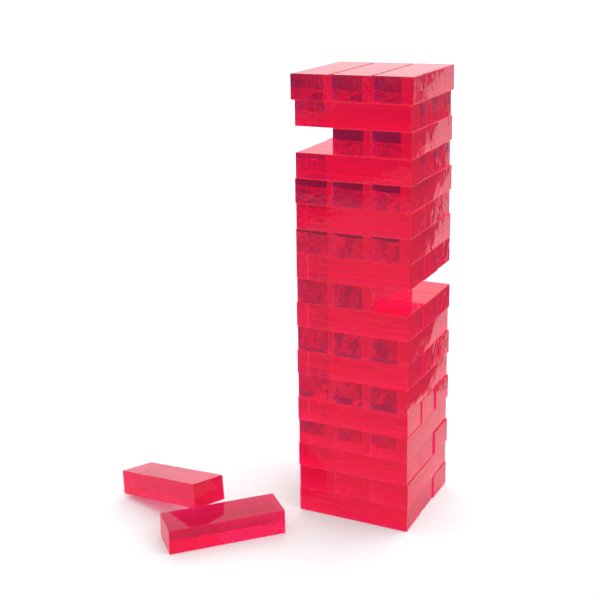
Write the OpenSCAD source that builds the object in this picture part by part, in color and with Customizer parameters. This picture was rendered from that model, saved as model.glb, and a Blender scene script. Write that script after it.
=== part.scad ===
// Giant tumbling tower made of clear tinted acrylic blocks.
// Three blocks make a course, and each course lies across the one below it.
// Two blocks have been drawn out and lie in front of the tower, one flat and one leaning on it.
// The origin is the middle of the tower's foot: +Z is up, -Y is the front, +X is the right side.
// Every block is a solid of its own, because nothing but its own weight holds a real tower together.

/* [Block] */
// Length of a block
block_l = 119.4; // [100:0.1:160]
// Width of a block
block_w = 39.6; // [33:0.1:53]
// Thickness of a block, which is the thickness of the sheet it is sawn from
block_h = 25.3; // [20:0.1:32]
// Width of the small bevel on all twelve edges
edge_break = 0.3; // [0.2:0.1:1]

/* [Tower] */
// Number of courses
courses = 18; // [16:1:20]
// Air gap between one course and the next
course_gap = 0.1; // [0.05:0.05:0.3]
// Air gap between neighbours in a course
side_gap = 0.3; // [0.1:0.1:1]
// Most that a block stands proud of its course at either end
stray = 1.2; // [0:0.1:2]
// Most that a whole course is shifted sideways
shift = 0.5; // [0:0.1:1]
// Most that a whole course is turned, in degrees
turn = 0.3; // [0:0.1:0.5]

/* [Top course] */
// Air gap between neighbours in the loosely laid top course
top_gap = 2; // [0.5:0.5:3]
// How far each block of the top course is set back from the one on its left
top_step = 2.5; // [0:0.5:4]
// Shift of the top course to the left
top_shift = 0.6; // [0:0.1:2]

/* [Loose blocks] */
// Distance of the flat block's centre to the left of the tower's centre
flat_left = 108; // [100:1:140]
// Distance of the flat block's centre in front of the tower's centre
flat_front = 139.5; // [130:0.5:180]
// Turn of the flat block, in degrees
flat_turn = 45; // [35:0.5:55]
// Where the leaning block's centre lies along the flat block's edge, to the left of its middle
lean_left = 34; // [30:1:45]
// Distance from the flat block's edge down the slope to the leaning block's centre
lean_out = 54; // [44:1:60]
// Turn of the leaning block on its own slope, in degrees
lean_turn = 63.5; // [55:0.5:75]

/* [Hidden] */
lucite = [0.93, 0.09, 0.28, 0.85];
// Height from one course to the next
course_h = block_h + course_gap;
// Height that the leaning block is held clear of the floor and of the flat block
rest_gap = 0.1;
// The two places left empty by the loose blocks: [course, place]
empty_places = [[16, 0], [10, 2]];
// Odd courses lie from left to right, even courses from front to back
places_across = ["front", "middle", "back"];
places_deep = ["left", "middle", "right"];
// Uneven angles that make the small strays look chance
stray_by_course = 197;
stray_by_place = 83;
shift_by_course = 161;
turn_by_course = 227;

function is_deep(course) = course % 2 == 0;
function is_top(course) = course == courses;
function is_empty(course, place) = len([for (e = empty_places) if (e == [course, place]) e]) > 0;
function two_digits(number) = str(number < 10 ? "0" : "", number);
function place_name(course, place) = is_deep(course) ? places_deep[place] : places_across[place];
function block_name(course, place) = str("course_", two_digits(course), "_", place_name(course, place));
// How far a block stands out along its own length
function stand_out(course, place) = is_top(course)
    ? top_step * (place - 1)
    : stray * sin(stray_by_course * course + stray_by_place * place);
// Gap, sideways shift and turn of a whole course
function gap_in(course) = is_top(course) ? top_gap : side_gap;
function shift_of(course) = is_top(course) ? -top_shift : shift * sin(shift_by_course * course);
function turn_of(course) = turn * sin(turn_by_course * course);
// Middle of a block across its course
function across(course, place) = (place - 1) * (block_w + gap_in(course)) + shift_of(course);

full_places = [
    for (course = [1:courses], place = [0:2])
        if (!is_empty(course, place)) [course, place]
];

// A slab between -l/2 and l/2 by -w/2 and w/2 with bevelled corners, h thick about z = 0
module bevelled_slab(l, w, h) {
    x = l / 2;
    y = w / 2;
    e = edge_break;
    linear_extrude(h, center = true)
        polygon([
            [x - e, -y], [x, e - y], [x, y - e], [x - e, y],
            [e - x, y], [-x, y - e], [-x, e - y], [e - x, -y]
        ]);
}

// A block along X about its own centre: each slab bevels the four edges along one axis
module block() {
    color(lucite)
        intersection() {
            bevelled_slab(block_l, block_w, block_h);
            rotate([90, 0, 0]) bevelled_slab(block_l, block_h, block_w);
            rotate([0, 90, 0]) bevelled_slab(block_h, block_w, block_l);
        }
}

// A block in its place in the tower
module tower_block(course, place) {
    lift = (course - 1) * course_h + block_h / 2;
    side = across(course, place);
    out = stand_out(course, place);
    rotate([0, 0, turn_of(course)])
        translate(is_deep(course) ? [side, out, lift] : [out, side, lift])
            rotate([0, 0, is_deep(course) ? 90 : 0])
                block();
}

// Moves its children to the flat loose block's centre on the floor, with X along the block
module at_flat_block() {
    translate([-flat_left, -flat_front, 0])
        rotate([0, 0, flat_turn])
            children();
}

module loose_block_flat() {
    at_flat_block()
        translate([0, 0, block_h / 2])
            block();
}

// The leaning block's underside is a plane that passes over the flat block's long upper edge
// and falls to the floor under the block's farthest corner
module loose_block_leaning() {
    half_l = block_l / 2 - edge_break;
    half_w = block_w / 2 - edge_break;
    reach = lean_out + half_l * sin(lean_turn) + half_w * cos(lean_turn);
    slope = asin(block_h / reach);
    at_flat_block()
        translate([0, half_w, block_h + rest_gap])
            rotate([-slope, 0, 0])
                translate([-lean_left, lean_out, block_h / 2])
                    rotate([0, 0, -lean_turn])
                        block();
}

for (p = full_places)
    tower_block(p[0], p[1]);
loose_block_flat();
loose_block_leaning();
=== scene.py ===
import math

import bmesh
import bpy
from mathutils import Matrix, Vector


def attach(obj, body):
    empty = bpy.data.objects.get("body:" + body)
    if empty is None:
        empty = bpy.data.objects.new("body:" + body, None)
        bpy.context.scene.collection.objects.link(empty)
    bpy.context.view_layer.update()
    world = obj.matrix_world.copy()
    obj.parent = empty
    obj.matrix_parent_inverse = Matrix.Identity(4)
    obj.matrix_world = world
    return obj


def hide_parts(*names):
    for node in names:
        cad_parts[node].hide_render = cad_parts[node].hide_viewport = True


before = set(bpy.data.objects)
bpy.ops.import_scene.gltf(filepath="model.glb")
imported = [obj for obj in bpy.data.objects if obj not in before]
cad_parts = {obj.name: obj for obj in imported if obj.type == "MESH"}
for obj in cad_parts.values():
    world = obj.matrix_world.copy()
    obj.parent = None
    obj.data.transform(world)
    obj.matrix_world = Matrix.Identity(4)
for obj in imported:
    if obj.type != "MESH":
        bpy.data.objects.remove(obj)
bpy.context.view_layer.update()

scene = bpy.context.scene

# ---------------------------------------------------------------- camera

CAMERA_PLACE = (0.4152, -1.0255, 0.5746)    # metres
CAMERA_YAW = 25.97      # degrees that it looks to the left of +Y
CAMERA_PITCH = 14.67    # degrees that it looks down
CAMERA_ROLL = -0.94     # degrees about its own line of sight
CAMERA_LENS = 67.56     # mm, on a 36 mm sensor
CAMERA_SHIFT = -0.1     # kept small


def make_camera():
    data = bpy.data.cameras.new("camera")
    data.sensor_width = 36
    data.lens = CAMERA_LENS
    data.shift_y = CAMERA_SHIFT
    data.clip_start = 0.01
    camera = bpy.data.objects.new("camera", data)
    turn = Matrix.Rotation(math.radians(CAMERA_YAW), 4, "Z")
    tip = Matrix.Rotation(math.radians(90 - CAMERA_PITCH), 4, "X")
    roll = Matrix.Rotation(math.radians(CAMERA_ROLL), 4, "Z")
    camera.matrix_world = Matrix.Translation(CAMERA_PLACE) @ turn @ tip @ roll
    scene.collection.objects.link(camera)
    scene.camera = camera


# ---------------------------------------------------------------- node helpers

def node(tree, kind, **values):
    made = tree.nodes.new(kind)
    for name, value in values.items():
        setattr(made, name, value)
    return made


def link(tree, source, target):
    tree.links.new(source, target)


def math_node(tree, operation, *inputs):
    made = node(tree, "ShaderNodeMath", operation=operation)
    for socket, value in zip(made.inputs, inputs):
        if isinstance(value, (int, float)):
            socket.default_value = value
        else:
            link(tree, value, socket)
    return made.outputs[0]


def times(tree, a, b):
    return math_node(tree, "MULTIPLY", a, b)


def times_plus(tree, a, b, c):
    return math_node(tree, "MULTIPLY_ADD", a, b, c)


def split(tree, vector):
    """The X, Y and Z outputs of a vector."""
    made = node(tree, "ShaderNodeSeparateXYZ")
    link(tree, vector, made.inputs[0])
    return made.outputs


def blend_colours(tree, a, b, factor):
    made = node(tree, "ShaderNodeMix", data_type="RGBA")
    made.inputs["A"].default_value = a
    made.inputs["B"].default_value = b
    link(tree, factor, made.inputs["Factor"])
    return made.outputs["Result"]


def attribute(tree, name, output="Fac"):
    return node(tree, "ShaderNodeAttribute", attribute_name=name).outputs[output]


def texture_place(tree, output):
    return node(tree, "ShaderNodeTexCoord").outputs[output]


def noise(tree, where, stretch, scale, detail, rough=0.5):
    mapping = node(tree, "ShaderNodeMapping")
    mapping.inputs["Scale"].default_value = stretch
    link(tree, where, mapping.inputs["Vector"])
    made = node(tree, "ShaderNodeTexNoise")
    made.inputs["Scale"].default_value = scale
    made.inputs["Detail"].default_value = detail
    made.inputs["Roughness"].default_value = rough
    link(tree, mapping.outputs[0], made.inputs["Vector"])
    return made.outputs["Fac"]


def smooth_step(tree, value, low, high):
    """0 where the value is under low, 1 where it is over high, and smooth between them."""
    ramp = node(tree, "ShaderNodeMapRange", interpolation_type="SMOOTHSTEP")
    ramp.inputs["From Min"].default_value = low
    ramp.inputs["From Max"].default_value = high
    link(tree, value, ramp.inputs["Value"])
    return ramp.outputs["Result"]


def bump(tree, height, distance, normal=None):
    made = node(tree, "ShaderNodeBump")
    made.inputs["Distance"].default_value = distance
    link(tree, height, made.inputs["Height"])
    if normal is not None:
        link(tree, normal, made.inputs["Normal"])
    return made.outputs[0]


# ---------------------------------------------------------------- acrylic

ACRYLIC_IOR = 1.49
SHEEN_OFF_FRONT = (0.35, 0.35, 0.35, 1)     # dims what a face mirrors when it is seen square on
# absorption per metre is the density times one minus the colour
TINT = (0.963, 0.0, 0.38, 1)
TINT_DENSITY = 112
PAINTED_GLOW = (1.0, 0.08, 0.5, 1)                  # painted glow: light the acrylic emits itself, standing in for what the dye gives back from inside
PAINTED_GLOW_STRENGTH = 0.085
PAINTED_EDGE_GLOW = (1.0, 0.14, 0.12, 1)            # painted glow, brighter on the rounded edges, standing in for the dye's light gathering there
PAINTED_EDGE_GLOW_STRENGTH = 0.16
CLEAR = (0.94, 0.92, 0.93, 1)
SAW_MARK = (0.66, 0.56, 0.6, 1)

# the noises are in metres of the block's own frame: X along it, Z through its thickness
SAW_LINES = dict(stretch=(6, 6, 1100), scale=1.0, detail=3.0, rough=0.7)
SIDE_WAVES = dict(stretch=(1, 1, 1.5), scale=40, detail=2.5)
END_RIPPLES = dict(stretch=(1, 1, 1.4), scale=95, detail=2.0)
SAW_LINE_RANGE = (0.42, 0.75)   # where on the noise's scale a line begins and is full
END_SAWN = 0.12                 # the ends are polished better than the long sawn sides
SAW_LINE_DEPTH = 0.0000015      # metres, as are the next two
SIDE_WAVE_HEIGHT = 0.00025
END_RIPPLE_HEIGHT = 0.00012
TWIST = 0.48        # radians per metre that a sawn side turns from its lower edge to its upper
END_SKEW = 0.008    # radians that an end is out of square
ROUGH_POLISHED = 0.01
ROUGHER_IF_SAWN = 0.02


def pattern_place(tree, local):
    """A place for noise. Every block has its own, so that no two have the same pattern."""
    own = node(tree, "ShaderNodeCombineXYZ")
    link(tree, attribute(tree, "number"), own.inputs["X"])
    moved = node(tree, "ShaderNodeVectorMath", operation="ADD")
    link(tree, local, moved.inputs[0])
    link(tree, own.outputs[0], moved.inputs[1])
    return moved.outputs[0]


def surface_height(tree, where, local, side, end, sawn):
    """Height in metres of what sawing and polishing leave: waves, ripples, a twist and a skew."""
    x, y, z = split(tree, local)
    waves = noise(tree, where, **SIDE_WAVES)
    ripples = noise(tree, where, **END_RIPPLES)
    height = times(tree, waves, times(tree, sawn, SIDE_WAVE_HEIGHT))
    height = times_plus(tree, ripples, times(tree, end, END_RIPPLE_HEIGHT), height)
    height = times_plus(tree, times(tree, x, z), times(tree, side, TWIST), height)
    return times_plus(tree, times(tree, y, end), END_SKEW, height)


def acrylic():
    made = bpy.data.materials.new("lucite")
    made.use_nodes = True
    tree = made.node_tree
    tree.nodes.clear()
    out = node(tree, "ShaderNodeOutputMaterial")
    skin = node(tree, "ShaderNodeBsdfPrincipled")
    skin.inputs["IOR"].default_value = ACRYLIC_IOR
    skin.inputs["Specular Tint"].default_value = SHEEN_OFF_FRONT
    skin.inputs["Transmission Weight"].default_value = 1.0
    link(tree, skin.outputs[0], out.inputs["Surface"])

    absorb = node(tree, "ShaderNodeVolumeAbsorption")
    absorb.inputs["Color"].default_value = TINT
    absorb.inputs["Density"].default_value = TINT_DENSITY
    link(tree, absorb.outputs[0], out.inputs["Volume"])

    local = attribute(tree, "local", "Vector")
    side = attribute(tree, "side")
    end = attribute(tree, "end")
    edge = attribute(tree, "edge")
    sawn = times_plus(tree, end, END_SAWN, side)
    where = pattern_place(tree, local)

    lines = smooth_step(tree, noise(tree, where, **SAW_LINES), *SAW_LINE_RANGE)
    marks = times(tree, lines, sawn)
    link(tree, blend_colours(tree, CLEAR, SAW_MARK, marks), skin.inputs["Base Color"])
    rough = times_plus(tree, sawn, ROUGHER_IF_SAWN, ROUGH_POLISHED)
    link(tree, rough, skin.inputs["Roughness"])

    height = surface_height(tree, where, local, side, end, sawn)
    normal = bump(tree, marks, SAW_LINE_DEPTH)
    link(tree, bump(tree, height, 1.0, normal), skin.inputs["Normal"])

    # painted glow: every face emits light of its own, and the rounded edges emit more
    link(tree, blend_colours(tree, PAINTED_GLOW, PAINTED_EDGE_GLOW, edge), skin.inputs["Emission Color"])
    strength = times_plus(tree, edge, PAINTED_EDGE_GLOW_STRENGTH - PAINTED_GLOW_STRENGTH, PAINTED_GLOW_STRENGTH)
    link(tree, strength, skin.inputs["Emission Strength"])
    return made


# ---------------------------------------------------------------- blocks

EDGE_RADIUS = 0.0005
EDGE_SEGMENTS = 3
FLAT = 0.999                    # the least that a flat face's normal has along one axis
UNEVEN = Vector((1, 1.3, 1.7))  # a direction that picks one of two opposite normals


def frame_of(cad):
    """A block's place and its half length, width and thickness, read from its CAD mesh."""
    area = {}
    for face in cad.data.polygons:
        normal = face.normal if face.normal @ UNEVEN > 0 else -face.normal
        key = tuple(round(x, 3) for x in normal)
        area[key] = area.get(key, 0) + face.area
    # the largest faces lie across the thickness, the next across the width, then the ends
    thick, wide, long = sorted(area, key=area.get, reverse=True)[:3]
    along = Vector(long).normalized()
    up = Vector(thick).normalized()
    across = up.cross(along)
    middle = Vector()
    half = []
    for axis in (along, across, up):
        reach = [v.co @ axis for v in cad.data.vertices]
        half.append((max(reach) - min(reach)) / 2)
        middle += axis * (max(reach) + min(reach)) / 2
    turn = Matrix((along, across, up)).transposed().to_4x4()
    return Matrix.Translation(middle) @ turn, half


def block_mesh(name, half, place, number):
    """A block with rounded edges in its place, and the attributes that its material reads.

    Each point keeps its place in the block's own frame and the block's number. Each face is
    marked as a long sawn side, an end or an edge. The two large faces have no mark.
    """
    mesh = bpy.data.meshes.new(name)
    bm = bmesh.new()
    bmesh.ops.create_cube(bm, size=2)
    for v in bm.verts:
        v.co = Vector([c * h for c, h in zip(v.co, half)])
    bmesh.ops.bevel(
        bm, geom=bm.edges[:], offset=EDGE_RADIUS, segments=EDGE_SEGMENTS,
        profile=0.5, affect="EDGES",
    )
    side = bm.faces.layers.float.new("side")
    end = bm.faces.layers.float.new("end")
    edge = bm.faces.layers.float.new("edge")
    local = bm.verts.layers.float_vector.new("local")
    counted = bm.verts.layers.float.new("number")
    for v in bm.verts:
        v[local] = v.co
        v[counted] = number
    for face in bm.faces:
        along, across, up = [abs(x) > FLAT for x in face.normal]
        face.smooth = True
        face[side] = float(across)
        face[end] = float(along)
        # the edge mark also tells the material where to paint the brighter glow
        face[edge] = float(not (along or across or up))
    bm.transform(place)
    bm.to_mesh(mesh)
    bm.free()
    return mesh


def make_block(name, number, material):
    place, half = frame_of(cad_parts[name])
    mesh = block_mesh(name + "_mesh", half, place, number)
    mesh.materials.append(material)
    piece = bpy.data.objects.new(name + "_block", mesh)
    scene.collection.objects.link(piece)
    weighted = piece.modifiers.new("weighted", "WEIGHTED_NORMAL")
    weighted.keep_sharp = False
    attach(piece, name)
    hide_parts(name)


# ---------------------------------------------------------------- stage and light

FLOOR_RADIUS = 1.6
FLOOR_DROP = 0.0002             # metres, so that no block's underside lies in the floor
SWEEP_CORNER = (0.16, 0.29)     # metres, a point on the right edge of the white sweep
SWEEP_TURN = 26.5               # degrees that this edge runs to the left of +Y
SWEEP_SOFT = 0.01               # metres over which it fades
PAPER = 0.88
PAPER_SEEN = 1.06               # the paper is a little overexposed, as product shots are
PAPER_LIGHT = 1.2
LIGHT_FROM = (0.4, 0.5)         # how much more of the floor's light comes from the right and the back

PANEL_LIGHT = 0.94
BACK_PANEL = (-46, 64.9)        # degrees to the right of +Y: middle and half width
FRONT_PANEL = (135, 34)
PANEL_SOFT = 0.3                # degrees
OVERHEAD = math.sin(math.radians(26.3))     # height at which the overhead light begins
OVERHEAD_SOFT = 0.01
ROOM_DARK = 0.1                 # the room between the panels is uneven
ROOM_BRIGHT = 1.25
CLUTTER = dict(stretch=(1, 1, 1), scale=75, detail=3.0, rough=0.6)
CLUTTER_RANGE = (0.46, 0.60)    # where on the noise's scale the room is dark and bright
CLUTTER_FOOT = (-0.15, -0.10)   # height below which the room is dark


def grey(value):
    return (value, value, value, 1)


def camera_ray(tree):
    return node(tree, "ShaderNodeLightPath").outputs["Is Camera Ray"]


def seen_plainly(tree):
    """1 for a ray straight from the camera or one that lights a matt surface."""
    path = node(tree, "ShaderNodeLightPath")
    return math_node(
        tree, "MAXIMUM", path.outputs["Is Camera Ray"], path.outputs["Is Diffuse Ray"]
    )


def mix_shaders(tree, factor, a, b):
    mix = node(tree, "ShaderNodeMixShader")
    link(tree, factor, mix.inputs[0])
    link(tree, a, mix.inputs[1])
    link(tree, b, mix.inputs[2])
    return mix.outputs[0]


def paper():
    """White paper that the glass sees only as far as the sweep's right edge."""
    made = bpy.data.materials.new("floor")
    made.use_nodes = True
    tree = made.node_tree
    tree.nodes.clear()
    out = node(tree, "ShaderNodeOutputMaterial")
    matt = node(tree, "ShaderNodeBsdfDiffuse")
    white = blend_colours(tree, grey(PAPER), grey(PAPER_SEEN), camera_ray(tree))
    link(tree, white, matt.inputs["Color"])
    open_air = node(tree, "ShaderNodeBsdfTransparent")
    x, y, z = split(tree, texture_place(tree, "Object"))
    turn = math.radians(SWEEP_TURN)
    to_right = times_plus(tree, y, math.sin(turn), times(tree, x, math.cos(turn)))
    edge = SWEEP_CORNER[0] * math.cos(turn) + SWEEP_CORNER[1] * math.sin(turn)
    off_right = smooth_step(tree, to_right, edge, edge + SWEEP_SOFT)
    on_sweep = math_node(tree, "SUBTRACT", 1.0, off_right)
    shown = math_node(tree, "MAXIMUM", on_sweep, seen_plainly(tree))
    surface = mix_shaders(tree, shown, open_air.outputs[0], matt.outputs[0])
    link(tree, surface, out.inputs["Surface"])
    return made


def make_floor():
    bm = bmesh.new()
    bmesh.ops.create_circle(bm, cap_ends=True, radius=FLOOR_RADIUS, segments=96)
    mesh = bpy.data.meshes.new("floor")
    bm.to_mesh(mesh)
    bm.free()
    floor = bpy.data.objects.new("floor", mesh)
    floor.location = (0, 0, -FLOOR_DROP)
    scene.collection.objects.link(floor)
    mesh.materials.append(paper())


def panel(tree, turn, middle, half_width):
    """1 inside a tall panel of light. All angles are to the right of +Y."""
    off = math_node(tree, "SUBTRACT", turn, math.radians(middle))
    off = math_node(tree, "ABSOLUTE", math_node(tree, "WRAP", off, math.pi, -math.pi))
    edge = math.radians(half_width)
    soft = math.radians(PANEL_SOFT)
    return math_node(tree, "SUBTRACT", 1.0, smooth_step(tree, off, edge - soft, edge + soft))


def studio_light(tree, x, y, z):
    """The strength that glass sees: two tall panels, an overhead light, and a room between them."""
    turn = math_node(tree, "ARCTAN2", x, y)
    panels = math_node(
        tree, "MAXIMUM", panel(tree, turn, *BACK_PANEL), panel(tree, turn, *FRONT_PANEL)
    )
    overhead = smooth_step(tree, z, OVERHEAD - OVERHEAD_SOFT, OVERHEAD + OVERHEAD_SOFT)
    lit = math_node(tree, "MAXIMUM", panels, overhead)
    clutter = noise(tree, texture_place(tree, "Generated"), **CLUTTER)
    clutter = smooth_step(tree, clutter, *CLUTTER_RANGE)
    clutter = times(tree, clutter, smooth_step(tree, z, *CLUTTER_FOOT))
    room = times_plus(tree, clutter, ROOM_BRIGHT - ROOM_DARK, ROOM_DARK)
    return times_plus(tree, lit, math_node(tree, "SUBTRACT", PANEL_LIGHT, room), room)


def paper_light(tree, x, y):
    """The strength that lights the paper, which is no less than plain white where it is seen itself."""
    skewed = times_plus(tree, y, LIGHT_FROM[1], times_plus(tree, x, LIGHT_FROM[0], 1.0))
    skewed = math_node(tree, "MAXIMUM", skewed, camera_ray(tree))
    return times(tree, skewed, PAPER_LIGHT)


def background(tree, strength):
    made = node(tree, "ShaderNodeBackground")
    made.inputs["Color"].default_value = grey(1)
    link(tree, strength, made.inputs["Strength"])
    return made.outputs[0]


def make_world():
    world = bpy.data.worlds.new("studio")
    scene.world = world
    world.use_nodes = True
    tree = world.node_tree
    tree.nodes.clear()
    out = node(tree, "ShaderNodeOutputWorld")
    x, y, z = split(tree, texture_place(tree, "Generated"))
    studio = background(tree, studio_light(tree, x, y, z))
    plain = background(tree, paper_light(tree, x, y))
    surface = mix_shaders(tree, seen_plainly(tree), studio, plain)
    link(tree, surface, out.inputs["Surface"])


def set_light_paths():
    """Enough bounces to see through the whole tower, and a denoiser that keeps the saw lines."""
    scene.view_settings.view_transform = "Standard"
    cycles = scene.cycles
    cycles.max_bounces = 32
    cycles.transmission_bounces = 32
    cycles.glossy_bounces = 24
    cycles.diffuse_bounces = 3
    cycles.volume_bounces = 0
    cycles.use_denoising = True
    cycles.denoising_input_passes = "RGB_ALBEDO"


make_camera()
lucite = acrylic()
for number, name in enumerate(sorted(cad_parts)):
    make_block(name, number, lucite)
make_floor()
make_world()
set_light_paths()
